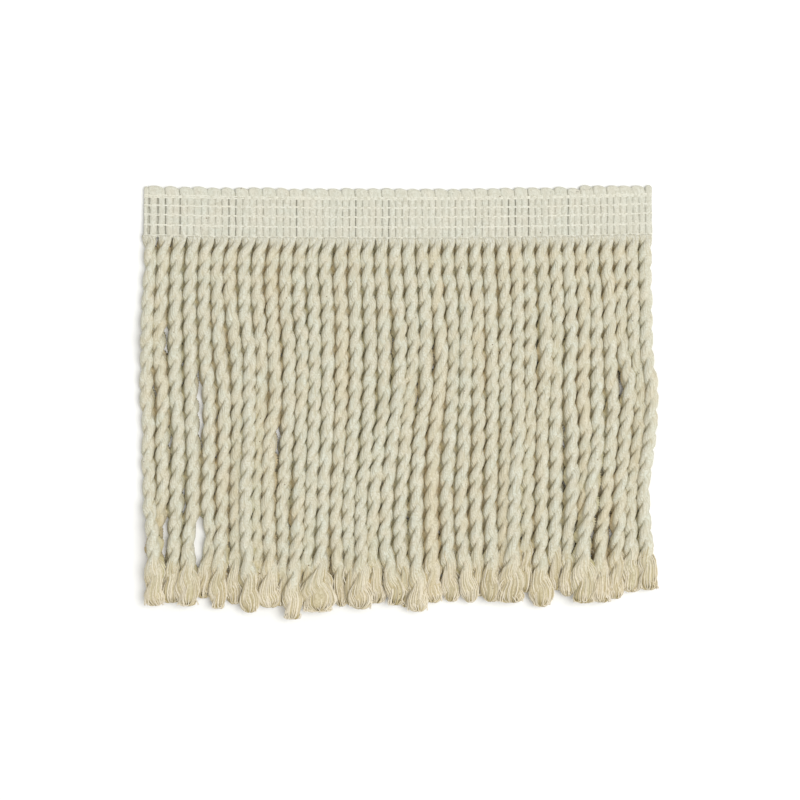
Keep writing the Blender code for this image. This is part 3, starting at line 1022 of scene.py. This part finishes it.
@dataclass
class BullionCord:
    """One cord: two plies twisted on each other, which open into looped threads at the end.

    Stops are (distance below the heading, value) pairs, and in a field named tail they are
    (distance above the tip, value) pairs.
    """

    index: int
    lay: Lay
    setting: Setting
    stacking: Stacking
    seed: int = 1000
    dye_seed: int = 5000
    # How far a ply's middle is from the cord's, and its own half thickness and half width
    ply_reach: float = 1.08
    ply_out: float = 1.31
    ply_wide: float = 1.65
    # How square a ply is, and how much squarer the legs are, pressed side by side under the heading
    fullness: float = 2.45
    leg_fullness: float = 2.5
    # How far a ply draws in where the other comes out from under it at the left
    tuck: float = 0.18
    # How far the plies fill the crease between them at the right, and the legs between them
    fill: float = 0.48
    leg_fill: float = 0.3
    # Where round a ply its inner side starts, and over what share it comes in
    inner_start: float = 0.55
    inner_span: float = 0.35
    # How much wider the low side of the rear ply is, pressed on the surface, and of either ply. This low
    # side carries dark painted shade (foot_shade) and fills the gaps between cords with it
    foot: float = 1.7
    sag: float = 1.15
    # How far below its own middle, as an angle, a ply is widest on the surface, and how sharply
    low_angle: float = 0.582
    low_sharp: float = 0.3
    low_stops: Stops = ((0.0, 0.0), (2.0, 0.65), (5.0, 0.65), (9.0, 1.0))
    # The mesh of a ply: its sides, the step between its rings, and the rings that round off its end
    ply_sides: int = 22
    ring_step: float = 0.95
    end_rings: int = 7
    # The legs under the heading: their height, half thickness and swell, and where they have become plies
    leg_height: float = 1.82
    leg_half_thick: float = 0.76
    throat_wide: float = 0.12
    throat_long: float = 7.5
    leg_long: float = 5.0
    # The length of half a turn, of the first one, and how fast the legs cross in it: they run side by
    # side at first
    half_turns: tuple = (7.0, 7.7)
    first_half_turn: float = 8.2
    entry: Stops = ((0.0, 0.4), (2.6, 1.12))
    tail_twist: Stops = ((24.0, 1.0), (5.0, 0.68))
    # How far the yarn's own threads turn back, as an angle for each millimetre
    thread_slant: float = -0.30
    tail_slant: Stops = ((26.0, 1.0), (6.0, 0.25))
    # How unevenly the cord is twisted and sways, and a ply strays in width and in thickness, for all
    # its length and bit by bit, each over its own length
    twist_stray: tuple = (6.0, 0.11)
    sway_length: float = 9.0
    sway_wide: float = 0.16
    sway_start: float = 12.0
    wide_stray: tuple = (0.06, 0.07)
    thick_stray: tuple = (0.04, 0.06)
    stray_length: float = 4.5
    # How far those are held past the heading and the tip, at what step, and the span of their knots
    past_top: float = 2.0
    past_tip: float = 4.0
    fine_step: float = 0.25
    knot_span: tuple = (-10.0, 160.0)
    # The ridges, waves and lumps on a ply, as shares of its radius
    ridge_high: float = 0.022
    wave_high: float = 0.02
    lump_high: float = 0.03
    # The tuft: how far above the tip it starts to open, is half open and is quite open, its width
    # against the one that was read, and the least of it
    open_length: float = 20.0
    swell_above: float = 10.5
    full_above: float = 4.5
    end_share: float = 1.16
    end_least: float = 4.7
    # How far the plies merge there, nearer to each other and thicker, how flat it lies, how far it opens
    tail_merge: Stops = ((12.0, 0.0), (3.0, 1.0))
    merge_in: float = 0.35
    merge_thick: float = 0.28
    tail_flat: Stops = ((20.0, 1.0), (3.0, 0.80))
    tail_open: Stops = ((20.0, 0.0), (3.0, 0.85))
    # How it is rounded off, the height of its middle at the tip, and how soon it comes down to that
    blunt_end: float = 4.0
    blunt_power: float = 2.5
    tip_height: float = 1.9
    settle: float = 14.0
    # How softly the cord rests on the surface, in square millimetres
    floor_soft: float = 0.02
    # The single threads of the tuft
    thread_radius: float = 0.18
    thread_sides: int = 5
    threads_least: int = 5
    threads_for_width: float = 3.8
    thread_reach: tuple = (8.0, 19.0)
    curl_every: int = 11
    # The painted shade in the crease, under another cord, in the tuft, and of the leg that goes behind the
    # one that crosses over it. The painted shade beside the next cord and at the foot: how dark, from how
    # low, how soft
    crease_shade: float = 0.6
    crease_stops: Stops = ((0.5, 0.5), (4.0, 1.0))
    cover_shade: float = 0.6
    tuft_shade: float = 0.5
    behind_stops: Stops = ((0.5, 0.0), (2.5, 0.22), (6.0, 0.22), (9.0, 0.0))
    beside_shade: tuple = (0.48, 0.05, 0.3)
    foot_shade: tuple = (0.86, 0.35, 0.22)
    # How much of the low side and of its painted shade a free side loses
    free_share: float = 0.85
    # How far down the yarn is marked as near the heading
    woven_stops: Stops = ((0.0, 1.0), (6.0, 0.0))
    # How warm the first cord is, how much warmer the last, and how far cords and their parts stray
    warm_first: float = 0.38
    warm_gain: float = 0.2
    warm_stray: float = 0.13
    warm_drift: float = 0.15
    warm_length: float = 22.0

    def __post_init__(self) -> None:
        """Draws this cord's own twist and works out its turns."""
        self.random = np.random.default_rng(self.seed + self.index)
        half_turn = self.random.uniform(*self.half_turns)
        self.depths = np.arange(-self.past_top, self.lay.length + self.past_tip, self.fine_step)
        tail = self.toward_tip(self.depths, self.tail_twist)
        rate = self.uneven(*self.twist_stray) * tail / half_turn
        entry = eased(self.depths, self.entry) / self.first_half_turn
        rate = np.where(self.depths < self.first_half_turn, entry, rate)
        turns = np.cumsum(rate) * self.fine_step
        self.turns = turns - np.interp(0.0, self.depths, turns)
        slant = self.thread_slant * self.toward_tip(self.depths, self.tail_slant)
        self.lags = np.cumsum(slant) * self.fine_step
        swaying = self.sway_wide * (self.uneven(self.sway_length, 1.0) - 1)
        self.sway = swaying * np.clip(self.depths / self.sway_start, 0, 1)
        self.wide_drift, self.thick_drift = (
            [self.random.uniform(1 - own, 1 + own) * self.uneven(self.stray_length, part) for _ in (0, 1)]
            for own, part in (self.wide_stray, self.thick_stray)
        )
        last = math.pi * float(self.read(self.turns, self.lay.length - self.blunt_end))
        side = math.hypot(self.ply_out * math.cos(last), self.ply_wide * math.sin(last))
        half = self.ply_reach * abs(math.cos(last)) + side
        self.end_spread = max(self.lay.end_width * self.end_share, self.end_least) / 2 / half
        dye = np.random.default_rng(self.dye_seed + self.index)
        knots = np.arange(*self.knot_span, self.warm_length)
        own = self.warm_first + self.warm_gain * self.index / len(LAYS) + dye.normal(0.0, self.warm_stray)
        self.warmth = [list(zip(knots, own + dye.normal(0.0, self.warm_drift, len(knots)))) for _ in (0, 1)]

    def read(self, values: np.ndarray, depth: np.ndarray | float) -> np.ndarray:
        """Reads, at any depths, values that are held at the cord's own ones."""
        return np.interp(depth, self.depths, values)

    def toward_tip(self, depth: np.ndarray, stops: Stops) -> np.ndarray:
        """Reads values that ease from stop to stop, each a distance above the cord's tip."""
        return eased(depth, [(self.lay.length - above, value) for above, value in stops])

    def uneven(self, length: float, amount: float) -> np.ndarray:
        """A value near 1 that drifts unevenly down the cord.

        Args:
            length: about how far it takes to change.
            amount: how far it strays.

        Returns:
            The value at each of the cord's own depths.
        """
        knots = np.arange(*self.knot_span, length)
        return swept(self.depths, list(zip(knots, 1 + self.random.normal(0.0, amount, len(knots)))))

    def across(self, depth: np.ndarray) -> np.ndarray:
        """The cord's place across at each depth."""
        even = self.setting.even_place(self.index)
        start = self.setting.leg_line(2 * self.index + 1) - even
        stops = [(0.0, start)] + [(place, getattr(self.lay, name)) for name, place in LAY_DEPTHS.items()]
        return even + swept(depth, stops) + self.read(self.sway, depth)

    def spread(self, depth: np.ndarray) -> np.ndarray:
        """How many times wider than the cord its opened end is at each depth."""
        swell = 1 + 0.5 * max(self.end_spread - 1, 0.1)
        widths = (self.open_length, 1.0), (self.swell_above, swell), (self.full_above, self.end_spread)
        return self.toward_tip(depth, widths)

    def middle_height(self, depth: np.ndarray) -> np.ndarray:
        """The height of the cord's middle at each depth."""
        rest = self.ply_reach + self.ply_out
        length = self.lay.length
        upper = [(0.0, self.leg_height), (self.leg_long, rest)]
        own = eased(depth, upper + [(length - self.settle, rest), (length, self.tip_height)])
        return own + np.interp(depth, self.stacking.depth, self.stacking.raised)

    def surface(
        self, ply: int, angle: np.ndarray, depth: np.ndarray, out: np.ndarray, end: float
    ) -> np.ndarray:
        """Points on a ply.

        Args:
            ply: 0 for the ply that comes from the right leg, or 1 for the other.
            angle: the angle round the ply's own middle, 0 to the right and a quarter turn to the front.
            depth: the distance below the heading, of the same shape as angle.
            out: the share of the ply's radius.
            end: the depth at which it is rounded off.

        Returns:
            The points, in millimetres.
        """
        turn = math.pi * (self.read(self.turns, depth) + ply)
        start = eased(depth, [(0.0, 0.0), (self.leg_long, 1.0)])
        merged = self.toward_tip(depth, self.tail_merge)
        leg = self.setting.leg_pitch / 2
        reach = (leg * (1 - start) + self.ply_reach * start) * (1 - self.merge_in * merged)
        deep = (leg * (1 - start) + self.ply_out * start) * (1 + self.merge_thick * merged)
        wide = self.leg_half_thick * (1 - start) + self.ply_wide * start
        wide = wide + self.throat_wide * np.sin(math.pi * np.clip(depth / self.throat_long, 0.0, 1.0)) ** 2
        deep = deep * self.read(self.thick_drift[ply], depth)
        wide = wide * self.read(self.wide_drift[ply], depth)
        inner = angle - turn
        full = self.fullness + self.leg_fullness * (1 - start)
        outline = np.abs(np.cos(inner) / deep) ** full + np.abs(np.sin(inner) / wide) ** full
        radius = outline ** (-1 / full)
        inward = np.clip((0.5 - 0.5 * np.cos(inner) - self.inner_start) / self.inner_span, 0.0, 1.0)
        lap = (np.sin(2 * turn) - np.abs(np.cos(turn))) * start
        filled = self.fill * np.clip(-lap, 0.0, 1.0) + self.leg_fill * (1 - start)
        radius = radius * (1 + inward * (filled - self.tuck * np.clip(lap, 0.0, 1.0)))
        low = np.exp(-(((np.sin(angle) + math.sin(self.low_angle)) / self.low_sharp) ** 2)) * np.cos(angle)
        front, rear = np.clip(np.sin(turn), 0.0, 1.0), np.clip(-np.sin(turn), 0.0, 1.0)
        low = low * self.shut_in(angle, depth) * (self.foot * rear + self.sag * (1 - front))
        past = 1 - np.clip((end - depth) / self.blunt_end, 0.0, 1.0)
        blunt = (1 - past**self.blunt_power) ** (1 / self.blunt_power)
        round_off = np.sqrt(1 - past**2)
        flat = self.toward_tip(depth, self.tail_flat)
        sideways = reach * np.cos(turn) + out * radius * np.cos(angle)
        x = self.across(depth) + self.spread(depth) * blunt * sideways
        x = x + low * eased(depth, self.low_stops) * (1 - merged)
        outward = reach * np.sin(turn) + out * round_off * radius * np.sin(angle)
        z = self.middle_height(depth) + flat * outward
        z = 0.5 * (z + np.sqrt(z * z + self.floor_soft))
        begin = float(self.setting.rise(self.across(np.zeros(1)))[0])
        return np.stack([x, begin - depth, z], -1)

    def fold(self, ply: int, angle: np.ndarray, depth: np.ndarray) -> np.ndarray:
        """How much painted shade each point of a ply has, in the twist or between this cord and its
        neighbours.

        Args:
            ply: 0 or 1.
            angle: the angle round the ply's own middle.
            depth: the distance below the heading.

        Returns:
            The amount of painted shade, from 0 to 1.
        """
        turn = math.pi * (self.read(self.turns, depth) + ply)
        inward = 0.5 - 0.5 * np.cos(angle - turn)
        # Painted shade on a ply's inner side where it comes out from under the other
        emerging = 1.35 * np.sin(turn) ** 2 * np.sqrt(np.clip(np.sin(2 * turn), 0.0, 1.0))
        emerging = np.clip(emerging, 0.0, 1.0)
        crease = self.crease_shade * np.clip((inward - 0.5) / 0.4, 0.0, 1.0) * emerging
        crease = crease * eased(depth, self.crease_stops)
        # Painted shade under a higher neighbour, under the tuft's threads and on the leg that goes behind
        covered = self.cover_shade * np.interp(depth, self.stacking.depth, self.stacking.covered)
        opened = self.tuft_shade * self.opened(depth) ** 2
        behind = np.clip(-np.sin(turn), 0.0, 1.0) * eased(depth, self.behind_stops)
        # Painted shade on the low sides beside the next cord, darkest at the foot
        lower, lowest = (
            dark * np.exp(-((np.clip(np.sin(angle) + low, 0.0, 2.0) / soft) ** 2))
            for dark, low, soft in (self.beside_shade, self.foot_shade)
        )
        beside = np.maximum(lower, lowest) * self.shut_in(angle, depth)
        return np.maximum.reduce([crease, beside, covered, opened, behind])

    def shut_in(self, angle: np.ndarray, depth: np.ndarray) -> np.ndarray:
        """How far a neighbour shuts in each side of the cord, at angles round a ply and depths."""
        left, right = (np.interp(depth, self.stacking.depth, free) for free in self.stacking.free)
        aside = 3 * np.cos(angle)
        freed = left * np.clip(-aside, 0.0, 1.0) + right * np.clip(aside, 0.0, 1.0)
        return 1 - self.free_share * freed

    def opened(self, depth: np.ndarray) -> np.ndarray:
        """How far the yarn is opened at each depth, from 0 to 1."""
        return self.toward_tip(depth, self.tail_open)

    def add_ply(self, yarn: YarnMesh, ply: int) -> None:
        """Adds one ply from the heading down to where its threads turn.

        Args:
            yarn: the mesh that it goes into.
            ply: 0 or 1.
        """
        end = self.lay.length - 0.5 - abs(self.random.normal(0.0, 0.5))
        close = end - self.blunt_end * (1 - np.linspace(0, 1, self.end_rings)) ** 1.7 - 1e-4
        depth = np.concatenate([np.arange(-0.5, close[0] - 0.3, self.ring_step), close])
        sides = self.ply_sides
        angle = math.tau * np.arange(sides)[None, :] / sides + self.read(self.lags, depth)[:, None]
        # One point of each ring is held where either side reaches out farthest, for an even edge
        for edge in (-self.low_angle, math.pi + self.low_angle):
            past = (angle - edge + math.pi) % math.tau - math.pi
            angle = np.where(np.abs(past) < math.pi / sides, angle - past, angle)
        depths = np.repeat(depth[:, None], sides, 1)
        ridges = self.random.normal(0.0, self.ridge_high, sides)[None, :]
        waves = depths * self.random.uniform(0.25, 0.6, sides) + self.random.uniform(0, 6, sides)
        lumps = (depth * 0.7 + self.random.uniform(0, 6))[:, None]
        out = 1 + ridges + self.wave_high * np.sin(waves) + self.lump_high * np.sin(lumps)
        yarn.add(
            self.surface(ply, angle, depths, out, end),
            opened=self.opened(depth),
            tint=self.random.uniform(0.0, 0.5),
            fold=self.fold(ply, angle, depths),
            woven=eased(depth, self.woven_stops),
            warm=np.clip(swept(depth, self.warmth[ply]), 0.0, 1.0),
        )

    def lay_thread(
        self, yarn: YarnMesh, path: np.ndarray, girth: float, **marks: float | np.ndarray
    ) -> None:
        """Adds a single thread that rests on the surface or above it.

        Args:
            yarn: the mesh that it goes into.
            path: the points that it follows.
            girth: how many times thicker than the others it is.
            marks: its marks by name.
        """
        path[:, 2] = np.maximum(path[:, 2], self.thread_radius + 0.02)
        radius = np.full(len(path), self.thread_radius * girth)
        yarn.add(tube(path, radius, self.thread_sides), 1, **marks)

    def add_thread(self, yarn: YarnMesh, ply: int, angle: float, sway: float, out: float) -> None:
        """Adds one thread of the tuft, which comes down the opened ply and turns in under its end.

        Args:
            yarn: the mesh that it goes into.
            ply: the ply that it belongs to.
            angle: the angle round the ply at which it reaches the end.
            sway: how far round the ply it strays on the way, as an angle.
            out: its share of the ply's radius.
        """
        end = self.lay.length - abs(self.random.normal(0.0, 0.2))
        top = end - self.random.uniform(*self.thread_reach)
        depth = np.concatenate([np.linspace(top, end - 2.5, 10), end - np.array([1.7, 1.0, 0.4, 0.08])])
        lag = self.read(self.lags, depth) - self.read(self.lags, end)
        share = np.linspace(0.0, 1.0, len(depth))
        strayed = (sway + self.random.normal(0.0, 0.06)) * np.sin(math.pi * share)
        rise = out * (0.88 + 0.15 * np.minimum(share * 4, 1.0))
        path = self.surface(ply, angle + lag + strayed, depth, rise, end)
        girth = self.random.uniform(0.85, 1.25)
        opened = 0.2 + 0.6 * eased(depth, [(end - 14, 0.0), (end - 2, 1.0)])
        # Each thread gets a random amount of painted shade, as if it lay deeper among the others, and more
        # painted shade where it turns under at the end
        fold = max(self.random.uniform(-0.5, 0.95), 0.0)
        fold = fold + 0.4 * eased(depth, [(end - 3.0, 0.0), (end, 1.0)])
        self.lay_thread(yarn, path, girth, opened=opened, tint=self.random.uniform(0.0, 0.9), fold=fold)

    def add_curl(self, yarn: YarnMesh, ply: int, angle: float, gap: float) -> None:
        """Adds one thread that turns back in a small loop at the tuft's end.

        Args:
            yarn: the mesh that it goes into.
            ply: the ply that it belongs to.
            angle: the angle round the ply at which it comes down.
            gap: the angle from there to where it goes up.
        """
        foot = self.lay.length - 0.7 - abs(self.random.normal(0.0, 0.4))
        out = 0.86 + 0.16 * np.linspace(0.0, 1.0, 6)
        legs = []
        for turn in (0.0, gap):
            depth = np.linspace(foot - self.random.uniform(3.0, 5.0), foot, 6)
            lag = self.read(self.lags, depth) - self.read(self.lags, foot)
            legs.append(self.surface(ply, angle + turn + lag, depth, out, self.lay.length + 2.0))
        low, high = legs[0][-1], legs[1][-1]
        drop = min(0.4 * float(np.linalg.norm(low - high)) + 0.1, 0.5)
        arc = np.linspace(0.0, math.pi, 7)[1:-1]
        turned = (low + high)[None, :] / 2 + (low - high)[None, :] / 2 * np.cos(arc)[:, None]
        turned[:, 1] -= drop * np.sin(arc)
        path = np.concatenate([legs[0], turned, legs[1][::-1]])
        girth = self.random.uniform(0.85, 1.1)
        self.lay_thread(yarn, path, girth, opened=0.9, tint=self.random.uniform(0.0, 0.9))

    def add_stray(self, yarn: YarnMesh, stray: StrayLoop) -> None:
        """Adds a yarn that has slipped out of the cord's side.

        Args:
            yarn: the mesh that it goes into.
            stray: where it is and how far it stands out.
        """
        share = np.linspace(0.0, 1.0, 19)
        bow = np.sin(math.pi * share)
        depth = stray.depth + stray.height * share
        path = self.surface(0, np.full(19, math.pi / 2), depth, np.full(19, 0.2), self.lay.length)
        path[:, 0] = self.across(depth) + math.copysign(1.2, stray.bulge) * (1 - bow) + stray.bulge * bow
        path[:, 2] = self.middle_height(depth) + 1.76 * bow**0.5
        self.lay_thread(yarn, path, 1.0, opened=0.5, tint=0.6)

    def build(self, finishes: list[bpy.types.Material]) -> bpy.types.Object:
        """Makes the cord with its tuft.

        Args:
            finishes: the materials of the cord yarn and of its single threads.

        Returns:
            The cord.
        """
        yarn = YarnMesh(f"cord_{self.index:02d}")
        for ply in (0, 1):
            self.add_ply(yarn, ply)
        end_turn = float(self.read(self.turns, self.lay.length))
        threads = int(self.threads_least + self.threads_for_width * self.lay.end_width)
        for ply in (0, 1):
            # Threads keep together in locks, each with its own sway and height
            locks = self.random.integers(3, 6)
            sways = self.random.normal(-0.15, 0.25, locks)
            lifts = self.random.uniform(0.96, 1.04, locks)
            for number in range(threads):
                share = (number + self.random.uniform(0.1, 0.9)) / threads
                lock = int(share * locks)
                angle = math.pi * (end_turn + ply) + (share - 0.5) * math.tau
                self.add_thread(yarn, ply, angle, sways[lock], lifts[lock])
                if number % self.curl_every == 0:
                    gap = self.random.choice([-1.0, 1.0]) * self.random.uniform(0.25, 0.6)
                    self.add_curl(yarn, ply, angle, gap)
        for stray in STRAYS:
            if stray.cord == self.index:
                self.add_stray(yarn, stray)
        return yarn.build(finishes, Slot.CORD)


@dataclass
class Skirt:
    """The row of cords, with those that cross laid over each other."""

    setting: Setting
    # The depths at which the cords are compared, and how many neighbours each is compared with
    deepest: float = 142.0
    step: float = 2.0
    neighbours: int = 3
    # The width and height at which two cords touch, the most that one is raised, and from where
    contact_wide: float = 4.4
    contact_high: float = 3.3
    highest: float = 3.6
    raise_stops: Stops = ((6.0, 0.0), (18.0, 1.0))
    # How near a cord has to be to cover another, in widths of a cord
    cover_near: float = 1.35
    # How far apart two cords lie where their sides start to be free, and where they are quite free
    parted: tuple = (5.8, 7.2)
    # How many depths are averaged, so that cords rise smoothly
    smoothing: int = 9

    def stack(self) -> list[Stacking]:
        """Works out how far each cord is raised by those that it lies over.

        Returns:
            How each cord is stacked.
        """
        depth = np.arange(0.0, self.deepest, self.step)
        none = np.zeros(len(depth))
        flat = Stacking(depth, none, none, np.stack([none, none]))
        cords = [BullionCord(index, lay, self.setting, flat) for index, lay in enumerate(LAYS)]
        across = np.array([cord.across(depth) for cord in cords])
        wide = np.array([self.contact_wide * cord.spread(depth) for cord in cords])
        near = np.abs(across[:, None] - across) / ((wide[:, None] + wide) / 2)
        raised, covered = np.zeros_like(across), np.zeros_like(across)
        placed: list[int] = []
        for index in sorted(range(len(LAYS)), key=lambda at: LAYS[at].layer):
            for other in placed:
                if abs(other - index) <= self.neighbours:
                    touching = near[index, other]
                    needed = self.contact_high * np.sqrt(np.clip(1 - touching**2, 0.0, 1.0))
                    needed = np.where(touching < 1, raised[other] + needed, 0.0)
                    raised[index] = np.maximum(raised[index], needed)
            raised[index] = np.minimum(raised[index], self.highest) * eased(depth, self.raise_stops)
            placed.append(index)
        for index in range(len(LAYS)):
            first, last = max(index - self.neighbours, 0), min(index + self.neighbours, len(LAYS) - 1)
            for other in range(first, last + 1):
                above = np.clip((raised[other] - raised[index]) / self.contact_high, 0.0, 1.0)
                over = above * np.clip(self.cover_near - near[index, other], 0.0, 1.0)
                covered[index] = np.maximum(covered[index], over)
        kernel = np.hanning(self.smoothing) / np.hanning(self.smoothing).sum()
        half = self.smoothing // 2
        raised, covered = (
            [np.convolve(np.pad(row, half, mode="edge"), kernel, mode="valid") for row in rows]
            for rows in (raised, covered)
        )
        apart = np.diff(across, axis=0) - (wide[1:] + wide[:-1]) / 2 + self.contact_wide
        parted = np.clip((apart - self.parted[0]) / (self.parted[1] - self.parted[0]), 0.0, 1.0)
        end = np.ones((1, len(depth)))
        free = np.stack([np.concatenate([end, parted]), np.concatenate([parted, end])], 1)
        return [Stacking(depth, *cord) for cord in zip(raised, covered, free)]

    def build(self, finishes: list[bpy.types.Material]) -> list[bpy.types.Object]:
        """Makes every cord.

        Args:
            finishes: the materials of the cord yarn and of its single threads.

        Returns:
            The cords, from the left.
        """
        return [
            BullionCord(index, lay, self.setting, stacking).build(finishes)
            for index, (lay, stacking) in enumerate(zip(LAYS, self.stack()))
        ]


@dataclass
class Studio:
    """A white card under a soft light from the upper right, seen from straight above."""

    # The place that the camera looks down on, in millimetres, and the width that it takes in there
    view: tuple = (0.68, 0.04, 3.0)
    framed_mm: float = 289.6
    lens: float = 100.0
    sensor: float = 36.0
    clip_m: tuple = (0.01, 20.0)
    floor_half_m: float = 3.0
    key_watts: float = 65.6
    key_size_m: float = 2.25
    key_place_m: tuple = (1.2, 0.0, 2.85)
    sky: str = "#F7F7F5"
    sky_strength: float = 0.66

    def build(self) -> None:
        """Sets up the camera, the floor and the lights."""
        scene = bpy.context.scene
        scene.view_settings.view_transform = "Standard"
        eye = bpy.data.cameras.new("view")
        eye.lens = self.lens
        eye.sensor_width = self.sensor
        eye.clip_start, eye.clip_end = self.clip_m
        camera = add_object("view", eye)
        distance = self.framed_mm * MM * self.lens / self.sensor
        camera.location = (self.view[0] * MM, self.view[1] * MM, self.view[2] * MM + distance)
        scene.camera = camera

        card = bpy.data.meshes.new("white_card")
        reach = self.floor_half_m
        corners = [(-reach, -reach, 0.0), (reach, -reach, 0.0), (reach, reach, 0.0), (-reach, reach, 0.0)]
        card.from_pydata(corners, [], [(0, 1, 2, 3)])
        card.materials.append(PaleCard().build())
        add_object("white_card", card)

        key = bpy.data.lights.new("key", "AREA")
        key.shape = "DISK"
        key.size = self.key_size_m
        key.energy = self.key_watts
        lamp = add_object("key", key)
        lamp.location = self.key_place_m
        lamp.rotation_euler = (-lamp.location).to_track_quat("-Z", "Y").to_euler()

        sky = bpy.data.worlds.new("sky")
        sky.use_nodes = True
        backdrop = sky.node_tree.nodes["Background"]
        backdrop.inputs["Color"].default_value = linear(self.sky)
        backdrop.inputs["Strength"].default_value = self.sky_strength
        scene.world = sky
        log.info("studio: camera %.3f m above the card", distance)


def main() -> None:
    """Builds the fringe in order: heading, cords and studio."""
    logging.basicConfig(level=logging.INFO, format="%(name)s %(message)s")
    low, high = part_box("heading")
    setting = Setting(middle=(low.x + high.x) / 2 / MM, edge=low.y / MM)
    yarns = (CORD_COTTON, THREAD_COTTON, HEADING_COTTON, WARP_COTTON)
    cord_cotton, thread_cotton, heading_cotton, warp_cotton = (yarn.build() for yarn in yarns)
    band, warp = Heading(setting).build(heading_cotton, warp_cotton)
    cords = Skirt(setting).build([cord_cotton, thread_cotton])
    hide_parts("heading")
    for cord in cords:
        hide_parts("fringe")
    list(cords)
    Studio().build()


if __name__ == "__main__":
    main()
